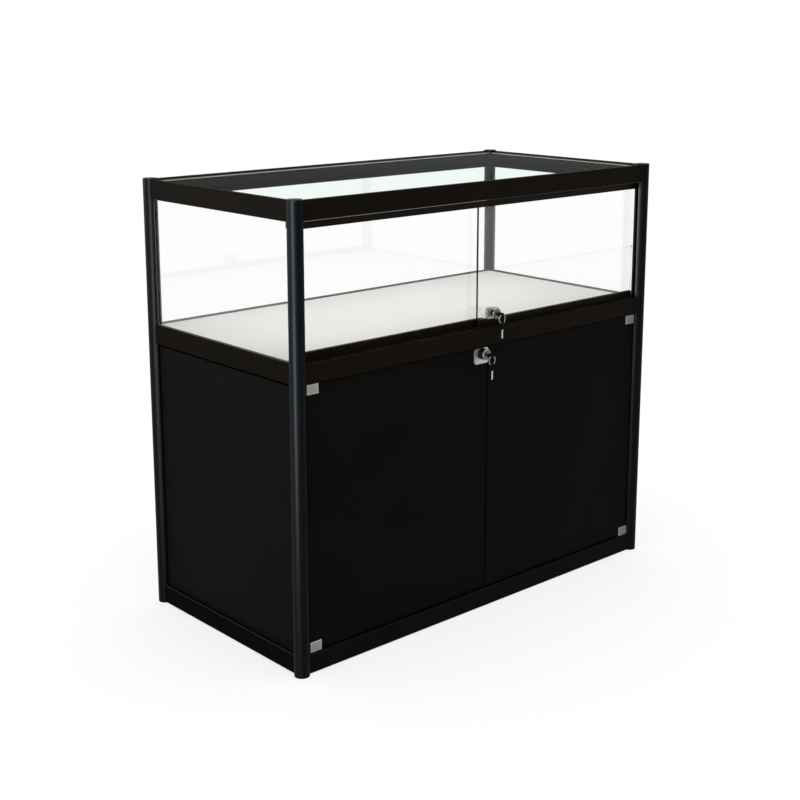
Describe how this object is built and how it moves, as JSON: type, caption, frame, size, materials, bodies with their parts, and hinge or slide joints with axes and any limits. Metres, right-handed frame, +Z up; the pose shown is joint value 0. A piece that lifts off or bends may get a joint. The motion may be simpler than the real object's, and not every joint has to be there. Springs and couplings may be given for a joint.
{
  "type": "display case",
  "caption": "Glazed display case on round posts with a white deck behind sliding glass doors and a black storage cabinet with hinged doors below.",
  "frame": {"origin": "on the floor, under the middle of the whole object's box, keys included", "axes": "+Z up, the doors face -Y, X along the width"},
  "size_m": [1, 0.5246, 0.9],
  "materials": {
    "post_metal": "satin black anodised",
    "rail_metal": "satin black anodised",
    "track_metal": "dark bronze anodised",
    "black_plastic": "moulded matt",
    "clear_glass": "clear float, ground edges",
    "seal_rubber": "matt",
    "white_board": "white laminate",
    "black_board": "black laminate",
    "angle_steel": "black painted",
    "nylon": "natural nylon",
    "satin_silver": "satin chrome",
    "key_steel": "nickel plated"
  },
  "bodies": {
    "case": {"post_front_left": "post_metal", "post_front_right": "post_metal", "post_back_right": "post_metal", "post_back_left": "post_metal", "post_caps": "black_plastic", "post_feet": "black_plastic", "top_rail_front": "rail_metal", "top_rail_right": "rail_metal", "top_rail_back": "rail_metal", "top_rail_left": "rail_metal", "middle_rail_front": "rail_metal", "middle_rail_right": "rail_metal", "middle_rail_back": "rail_metal", "middle_rail_left": "rail_metal", "bottom_rail_front": "rail_metal", "bottom_rail_right": "rail_metal", "bottom_rail_back": "rail_metal", "bottom_rail_left": "rail_metal", "rail_locks": "key_steel", "top_glass": "clear_glass", "left_glass": "clear_glass", "right_glass": "clear_glass", "back_glass": "clear_glass", "glass_seals": "seal_rubber", "display_deck": "white_board", "base_board": "black_board", "support_angles": "angle_steel", "left_panel": "black_board", "right_panel": "black_board", "back_panel": "black_board", "upper_track": "track_metal", "lower_track": "track_metal", "hinge_bushes": "nylon", "magnetic_catches": "black_plastic"},
    "left_slider": {"left_sliding_glass": "clear_glass", "left_door_shoe": "track_metal", "left_door_glides": "nylon"},
    "right_slider": {"right_sliding_glass": "clear_glass", "right_door_shoe": "track_metal", "right_door_glides": "nylon", "sliding_lock_body": "satin_silver"},
    "push_lock": {"sliding_lock_plunger": "satin_silver"},
    "push_lock_key": {"sliding_lock_plug": "satin_silver", "sliding_key": "black_plastic"},
    "push_lock_ring": {"sliding_key_ring": "satin_silver", "sliding_spare_blade": "key_steel", "sliding_spare_head": "black_plastic"},
    "left_cabinet_leaf": {"left_cabinet_door": "black_board", "left_hinge_clips": "satin_silver", "left_catch_plate": "key_steel", "cabinet_lock_body": "satin_silver"},
    "right_cabinet_leaf": {"right_cabinet_door": "black_board", "right_hinge_clips": "satin_silver", "right_catch_plate": "key_steel"},
    "cabinet_lock_key": {"cabinet_lock_plug": "satin_silver", "cabinet_lock_cam": "key_steel", "cabinet_key": "black_plastic"},
    "cabinet_lock_ring": {"cabinet_key_ring": "satin_silver", "cabinet_spare_blade": "key_steel", "cabinet_spare_head": "black_plastic"}
  },
  "joints": [
    {"name": "left_door_slide", "type": "slide", "parent": "case", "child": "left_slider", "axis": [-1, 0, 0], "range_m": [-0.455, 0]},
    {"name": "right_door_slide", "type": "slide", "parent": "case", "child": "right_slider", "axis": [1, 0, 0], "range_m": [-0.455, 0]},
    {"name": "push_lock_travel", "type": "slide", "parent": "right_slider", "child": "push_lock", "axis": [0, 1, 0], "range_m": [0, 0.0045], "stiffness_N_per_m": 300, "springref_m": -0.002},
    {"name": "push_lock_key_turn", "type": "hinge", "parent": "push_lock", "child": "push_lock_key", "pos_m": [0.0255, -0.227, 0.625], "axis": [0, 1, 0], "range_deg": [0, 90]},
    {"name": "push_lock_ring_swing", "type": "hinge", "parent": "push_lock_key", "child": "push_lock_ring", "pos_m": [0.0255, -0.2405, 0.625], "axis": [-1, 0, 0], "range_deg": [-5, 40]},
    {"name": "left_cabinet_swing", "type": "hinge", "parent": "case", "child": "left_cabinet_leaf", "pos_m": [-0.457, -0.22275, 0.302], "axis": [0, 0, 1], "range_deg": [-110, 0]},
    {"name": "right_cabinet_swing", "type": "hinge", "parent": "case", "child": "right_cabinet_leaf", "pos_m": [0.457, -0.22275, 0.302], "axis": [0, 0, -1], "range_deg": [-110, 0]},
    {"name": "cabinet_key_turn", "type": "hinge", "parent": "left_cabinet_leaf", "child": "cabinet_lock_key", "pos_m": [-0.0205, -0.24475, 0.55], "axis": [0, 1, 0], "range_deg": [0, 90]},
    {"name": "cabinet_ring_swing", "type": "hinge", "parent": "cabinet_lock_key", "child": "cabinet_lock_ring", "pos_m": [-0.0205, -0.25825, 0.55], "axis": [-1, 0, 0], "range_deg": [-20, 40]}
  ]
}
